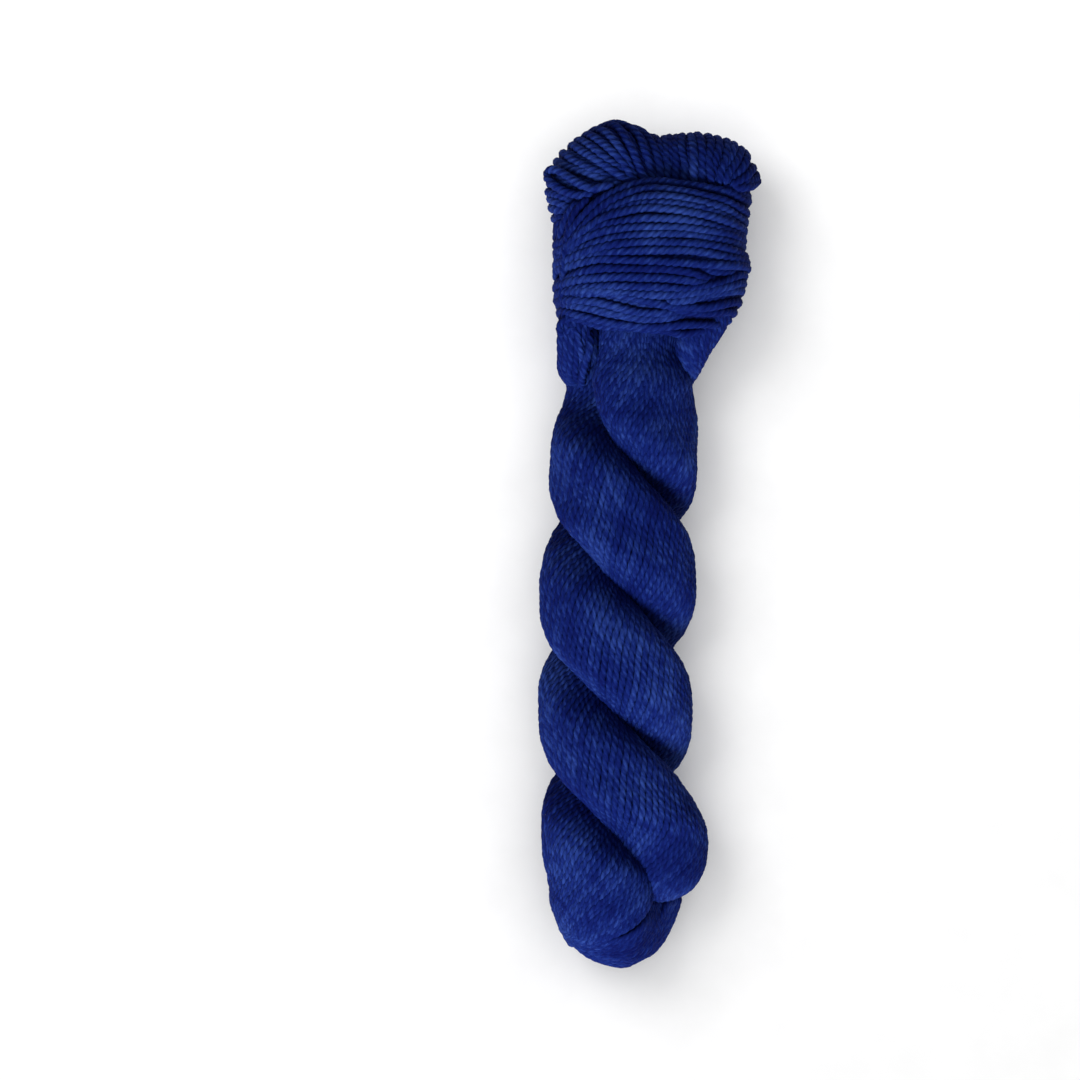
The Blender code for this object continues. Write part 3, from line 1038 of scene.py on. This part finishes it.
def mesh_of(name, strands):
    """One mesh of all the strands, with their tones, the painted shade of their grooves and
    flanks, and their places.
    """
    count = STRAND_SIDES
    centre, facing, side, sizes, turn, places = rings_of(strands)
    angle = turn[:, None] + 2 * math.pi * np.arange(count) / count
    reach = sizes[:, None] * np.tile(PLY_PROFILE, PLIES)
    offsets = (reach * np.cos(angle))[:, :, None] * facing[:, None, :]
    offsets = offsets + (reach * np.sin(angle))[:, :, None] * side[:, None, :]
    vertices = (centre[:, None, :] + offsets).reshape(-1, 3)
    vertices[:, 2] = np.maximum(vertices[:, 2], 0.0)

    lengths = [len(s["sizes"]) for s in strands]
    quads, caps, rings = faces_of(lengths)
    corners = np.concatenate([quads.ravel(), caps.ravel()])
    face_sizes = np.concatenate([np.full(len(quads), 4), np.full(len(caps), count)])
    face_starts = np.concatenate([[0], np.cumsum(face_sizes)[:-1]])
    mesh = bpy.data.meshes.new(name)
    mesh.vertices.add(len(vertices))
    mesh.vertices.foreach_set("co", vertices.ravel())
    mesh.loops.add(len(corners))
    mesh.loops.foreach_set("vertex_index", corners)
    mesh.polygons.add(len(face_starts))
    mesh.polygons.foreach_set("loop_start", face_starts)
    mesh.polygons.foreach_set("use_smooth", np.ones(len(face_starts), bool))
    mesh.update(calc_edges=True)

    tone = np.repeat([s["tone"] for s in strands], np.array(lengths) * count)
    # Painted shade: a value for the material to darken the ply grooves and the flanks where
    # strands meet
    flank_shade = np.clip((FLANK_SHADE_START - np.cos(angle)) / FLANK_SHADE_START, 0, 1)
    groove = np.maximum(np.tile(PLY_GROOVE_SHADE, PLIES), flank_shade)
    point_values(mesh, "tone", tone)
    point_values(mesh, "groove", groove.ravel())
    strand_uv(mesh, places, sizes, rings, len(strands))
    return mesh


def point_values(mesh, name, values):
    """A named value for each vertex, for the material to read."""
    attribute = mesh.attributes.new(name, "FLOAT", "POINT")
    attribute.data.foreach_set("value", values.astype(np.float32))


def corners_between(low, high, left, right):
    """The corners of faces that reach from low to high one way and left to right the other."""
    low, high, left, right = np.broadcast_arrays(low, high, left, right)
    return np.stack([low, left, high, left, high, right, low, right], axis=2).reshape(-1, 2)


def strand_uv(mesh, places, sizes, rings, strand_count):
    """Two maps: metres along and round each strand, and rows that fill a square."""
    count = STRAND_SIDES
    k = np.arange(count)[None, :]
    girth = 2 * math.pi * np.median(sizes)
    steps = places[rings + 1] - places[rings]
    here = places[rings][:, None]
    own = corners_between(here, here + steps[:, None],
                          k * girth / count, k * girth / count + girth / count)

    run = np.concatenate([[0.0], np.cumsum(steps)])
    scale = math.sqrt(MAP_FILL / (run[-1] * girth * MAP_SPARE))
    row_length = MAP_WIDTH / scale
    row_count = math.ceil(run[-1] / row_length)
    row = np.floor(run[:-1] / row_length)
    start = ((run[:-1] - row * row_length) * scale)[:, None]
    share = 1 - 2 * MAP_MARGIN
    left = (row[:, None] + MAP_MARGIN + share * k / count) / row_count
    rows = corners_between(start, start + (steps * scale)[:, None],
                           left, left + share / count / row_count)

    caps = np.zeros((2 * strand_count * count, 2))
    for name, values in (("strand", own), ("OFBake", rows)):
        layer = mesh.uv_layers.new(name=name)
        layer.data.foreach_set("uv", np.concatenate([values, caps]).astype(np.float32).ravel())


def placed(name, data):
    """A new object in the scene."""
    item = bpy.data.objects.new(name, data)
    bpy.context.scene.collection.objects.link(item)
    return item


def add_piece(name, mesh, material):
    """A piece of the hank, with what it belongs to."""
    piece = placed(name, mesh)
    mesh.materials.append(material)
    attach(piece, "root")
    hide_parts("hank")
    return piece


# ---- core
def core_skin(rings):
    """Closed faces over the rings, which all have as many points."""
    count = len(rings[0])
    vertices = np.concatenate(rings)
    vertices[:, 2] = np.maximum(vertices[:, 2], 0.0)
    faces = []
    for ring in range(len(rings) - 1):
        for k in range(count):
            following = (k + 1) % count
            start = ring * count
            faces.append((start + k, start + following,
                          start + count + following, start + count + k))
    faces.append(tuple(range(count))[::-1])
    faces.append(tuple(range(len(vertices) - count, len(vertices))))
    return vertices, faces


def round_angles(count):
    """Even angles once round."""
    return np.linspace(0, 2 * math.pi, count, endpoint=False)


def bundle_core(which, top, bottom):
    """A bundle's core from one y down to the other."""
    around = round_angles(36)
    rings = []
    for y in np.arange(top, bottom, -CORE_STEP):
        level = np.full_like(around, y)
        rings.append(on_bundle(level, which, around, CORE_DEPTH + ROPE_STRAND)[0])
    return core_skin(rings)


def surface_core(surface, values, depths):
    """The core of the band or the crest, each ring drawn in by its own depth."""
    around = round_angles(40)
    rings = []
    for value, depth in zip(values, depths):
        ring = surface(around, np.full_like(around, value))
        middle = 0.5 * (ring.min(axis=0) + ring.max(axis=0))
        arms = ring - middle
        reach = np.linalg.norm(arms, axis=1, keepdims=True)
        rings.append(middle + arms * np.maximum(1 - depth / reach, 0.05))
    return core_skin(rings)


def tail_core():
    """The tail's core, whose rings close in toward its end."""
    around = round_angles(40)
    reach = outline_reach(around)
    depth = CORE_DEPTH + ROPE_STRAND
    rings = []
    for part in np.sin(np.linspace(0, CORE_TAIL_ARC, 9)):
        width = (1 - TAIL_TAPER * part) * math.sqrt(1 - part ** 4)
        height = math.sqrt(1 - part ** 2)
        x = ROPE_ROWS[-1][1] + np.sin(around) * np.maximum(reach * width - depth, CORE_LEAST)
        z = AXIS_HEIGHT + np.cos(around) * np.maximum(reach * height - depth, CORE_LEAST)
        y = np.full_like(around, TAIL_Y - (TAIL_LENGTH - depth) * part)
        rings.append(np.stack([x, y, z], axis=1))
    return core_skin(rings)


def shoulder_core(rows):
    """A shoulder's core."""
    around = round_angles(24)
    rings = []
    for position in np.linspace(0, len(rows) - 1, 20):
        points, facing = shoulder_surface(rows, np.full_like(around, position), around)
        rings.append(points - (CORE_DEPTH + HEAD_STRAND) * facing)
    return core_skin(rings)


def core_mesh():
    """The plain wool under the strands, a closed skin for each form."""
    depth = CORE_DEPTH + HEAD_STRAND
    band_y = np.arange(*CORE_BAND)
    band_depth = depth + CORE_TUCK * ease((band_y - CORE_TUCK_Y) / CORE_TUCK_LENGTH)
    crest_x = np.arange(*CORE_CREST)
    skins = [
        bundle_core("first", CORE_TOP_Y, TAIL_Y - CORE_END),
        bundle_core("second", CORE_TOP_Y, CORE_SECOND_END),
        bundle_core("return", RETURN_TOP_Y - CORE_END, TAIL_Y - CORE_END),
        tail_core(),
        surface_core(band_surface, band_y, band_depth),
        surface_core(crest_surface, crest_x, np.full(len(crest_x), depth)),
        shoulder_core(LEFT_SHOULDER),
        shoulder_core(RIGHT_SHOULDER),
    ]
    vertices = []
    faces = []
    for points, skin in skins:
        start = len(vertices)
        vertices.extend(map(tuple, points))
        faces.extend(tuple(start + corner for corner in face) for face in skin)
    mesh = bpy.data.meshes.new("core")
    mesh.from_pydata(vertices, [], faces)
    mesh.update()
    return mesh


# ---- materials
class Nodes:
    """A short way to add nodes to a material and join them."""

    def __init__(self, name):
        self.material = bpy.data.materials.new(name)
        self.material.use_nodes = True
        self.tree = self.material.node_tree
        self.shader = self.tree.nodes["Principled BSDF"]

    def add(self, kind, output, **values):
        """The output of a new node, with its values given."""
        node = self.tree.nodes.new(kind)
        self.give(node, **values)
        return node.outputs[output]

    def give(self, node, **values):
        """Each value goes to the node's input of that name, or else to its setting."""
        for key, value in values.items():
            socket = node.inputs.get(key.replace("_", " "))
            if socket:
                self.fill([socket], [value])
            else:
                setattr(node, key, value)

    def fill(self, sockets, values):
        """Each socket gets a number, a vector, a colour or another node's output."""
        for socket, value in zip(sockets, values):
            if isinstance(value, bpy.types.NodeSocket):
                self.tree.links.new(value, socket)
            elif socket.type == "RGBA":
                socket.default_value = (*value, 1.0)
            else:
                socket.default_value = value

    def noise(self, vector, scale, detail=3.0, roughness=0.55):
        return self.add("ShaderNodeTexNoise", "Fac", Vector=vector, Scale=scale,
                        Detail=detail, Roughness=roughness)

    def stretched(self, vector, scale):
        return self.add("ShaderNodeMapping", "Vector", Vector=vector, Scale=scale)

    def attribute(self, name):
        return self.add("ShaderNodeAttribute", "Fac", attribute_name=name)

    def ramp(self, factor, stops):
        node = self.tree.nodes.new("ShaderNodeValToRGB")
        elements = node.color_ramp.elements
        while len(elements) < len(stops):
            elements.new(0.5)
        for element, (position, colour) in zip(elements, stops):
            element.position = position
            element.color = (*colour, 1.0)
        self.fill(node.inputs, [factor])
        return node.outputs["Color"]

    def math(self, operation, *values):
        node = self.tree.nodes.new("ShaderNodeMath")
        node.operation = operation
        self.fill(node.inputs, values)
        return node.outputs[0]

    def mix(self, factor, first, second):
        """One colour laid over another by a factor."""
        node = self.tree.nodes.new("ShaderNodeMix")
        node.data_type = "RGBA"
        self.fill((node.inputs[0], *node.inputs[6:8]), (factor, first, second))
        return node.outputs[2]


def yarn_material():
    """Hand-dyed wool: tone by strand and by place, painted shade in the grooves and on the
    strands' flanks, and fine fibres.
    """
    wool = Nodes("blue wool yarn")
    place = wool.add("ShaderNodeTexCoord", "Object")
    own = wool.add("ShaderNodeUVMap", "UV", uv_map="strand")
    tone = wool.attribute("tone")
    groove = wool.attribute("groove")
    dye = wool.noise(place, DYE_SCALE, 2.0)
    fibres = wool.noise(wool.stretched(own, FIBRE_SCALE), 1.0, 4.0, 0.7)
    plies = wool.noise(wool.stretched(own, PLY_SCALE), 1.0, 1.0)
    shade = wool.math("MULTIPLY_ADD", tone, TONE_BY_STRAND, dye)
    shade = wool.math("MULTIPLY_ADD", wool.math("SUBTRACT", plies, 0.5), TONE_BY_PLY, shade)
    shade = wool.math("MULTIPLY_ADD", wool.math("SUBTRACT", fibres, 0.5), TONE_BY_FIBRE, shade)
    colour = wool.ramp(shade, YARN_STOPS)
    # Painted shade: the groove value darkens the colour in the ply grooves and on the strands'
    # flanks
    depth = wool.math("MULTIPLY", groove, GROOVE_SHADE)
    colour = wool.mix(depth, colour, GROOVE_SHADE_COLOUR)
    roughness = wool.math("MULTIPLY_ADD", fibres, *YARN_ROUGHNESS)
    relief = wool.add("ShaderNodeBump", "Normal", Height=fibres, Strength=FIBRE_STRENGTH,
                      Distance=FIBRE_RELIEF)
    wool.give(wool.shader, Base_Color=colour, Roughness=roughness, Normal=relief,
              Specular_IOR_Level=YARN_SPECULAR)
    return wool.material


def core_material():
    """The wool deep between the strands: painted near black for the shade it lies in, with a
    felted grain.
    """
    wool = Nodes("deep wool")
    place = wool.add("ShaderNodeTexCoord", "Object")
    felt = wool.noise(place, FELT_SCALE, 4.0, 0.7)
    relief = wool.add("ShaderNodeBump", "Normal", Height=felt, Distance=FELT_RELIEF)
    wool.give(wool.shader, Base_Color=wool.ramp(felt, CORE_SHADE_STOPS), Roughness=0.95,
              Normal=relief, Specular_IOR_Level=0.02)
    return wool.material


def floor_material():
    """White paper, very slightly mottled."""
    paper = Nodes("white paper")
    place = paper.add("ShaderNodeTexCoord", "Object")
    grain = paper.noise(place, PAPER_SCALE)
    paper.give(paper.shader, Base_Color=paper.ramp(grain, PAPER_STOPS), Roughness=0.9,
               Specular_IOR_Level=0.1)
    return paper.material


# ---- scene
def add_floor():
    """The paper under the hank, which belongs to the picture alone."""
    mesh = bpy.data.meshes.new("floor")
    half = FLOOR_SIZE / 2
    corners = [(-half, -half, 0), (half, -half, 0), (half, half, 0), (-half, half, 0)]
    mesh.from_pydata(corners, [], [(0, 1, 2, 3)])
    mesh.materials.append(floor_material())
    floor = placed("floor", mesh)
    floor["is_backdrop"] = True
    return floor


def add_light(name, place, size, power, lit):
    """A round soft light that falls on the lit objects alone."""
    light = bpy.data.lights.new(name, "AREA")
    light.shape = "DISK"
    light.size = size
    light.energy = power
    lamp = placed(name, light)
    lamp.location = place
    aim = Vector(LIGHT_TARGET) - Vector(place)
    lamp.rotation_mode = "QUATERNION"
    lamp.rotation_quaternion = aim.to_track_quat("-Z", "Y")
    receivers = bpy.data.collections.new(name + "_lit")
    for item in lit:
        receivers.objects.link(item)
    lamp.light_linking.receiver_collection = receivers


def add_world():
    """An even white light from all round."""
    world = bpy.data.worlds.new("studio")
    world.use_nodes = True
    background = world.node_tree.nodes["Background"]
    background.inputs["Color"].default_value = (1.0, 1.0, 1.0, 1.0)
    background.inputs["Strength"].default_value = WORLD_STRENGTH
    bpy.context.scene.world = world


def add_camera():
    """The photograph's view, straight down."""
    data = bpy.data.cameras.new("camera")
    data.lens = CAMERA_LENS
    data.sensor_width = SENSOR_WIDTH
    data.clip_end = 10.0
    camera = placed("camera", data)
    height = MIDDLE_HEIGHT + PICTURE_WIDTH * CAMERA_LENS / SENSOR_WIDTH
    camera.location = (PICTURE_X, PICTURE_Y, height)
    bpy.context.scene.camera = camera


def by_half(strands, name):
    """The strands in two pieces, the upper and the lower half of the rope."""
    upper = [s for s in strands if s["centre"][:, 1].mean() > HALF_WAY_Y]
    lower = [s for s in strands if s["centre"][:, 1].mean() <= HALF_WAY_Y]
    return ((name + "_upper", upper), (name + "_lower", lower))


def add_hank():
    """All the pieces of the hank: the strands by where they lie, and the core."""
    wool = yarn_material()
    strands = [
        *by_half(bundle_strands("first"), "first_bundle"),
        *by_half(bundle_strands("second"), "second_bundle"),
        ("tail_turn", tail_side_strands() + bundle_strands("return")),
        ("head_band", band_strands()),
        ("head_crest", crest_strands() + [side_loop()]),
        ("left_shoulder", shoulder_strands(LEFT_SHOULDER, *LEFT_STRANDS) + loose_strands()
         + shoulder_strands(UNDER_LEFT, *LEFT_STRANDS)),
        ("right_shoulder", shoulder_strands(RIGHT_SHOULDER, *RIGHT_STRANDS)
         + shoulder_strands(UNDER_RIGHT, *UNDER_RIGHT_STRANDS)),
    ]
    pieces = [add_piece(name, mesh_of(name, lines), wool) for name, lines in strands]
    pieces.append(add_piece("core", core_mesh(), core_material()))
    return pieces


def plain(box):
    """A box's two corners as lists."""
    return [list(corner) for corner in box]


hank = add_hank()
floor = add_floor()
for name, place, size, power, on_floor in LIGHTS:
    add_light(name, place, size, power, [floor] if on_floor else hank)
add_world()
add_camera()
bpy.context.scene.view_settings.view_transform = "Standard"

sizes = {"cad": plain((cad_low, cad_high)), "visual": plain(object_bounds())}
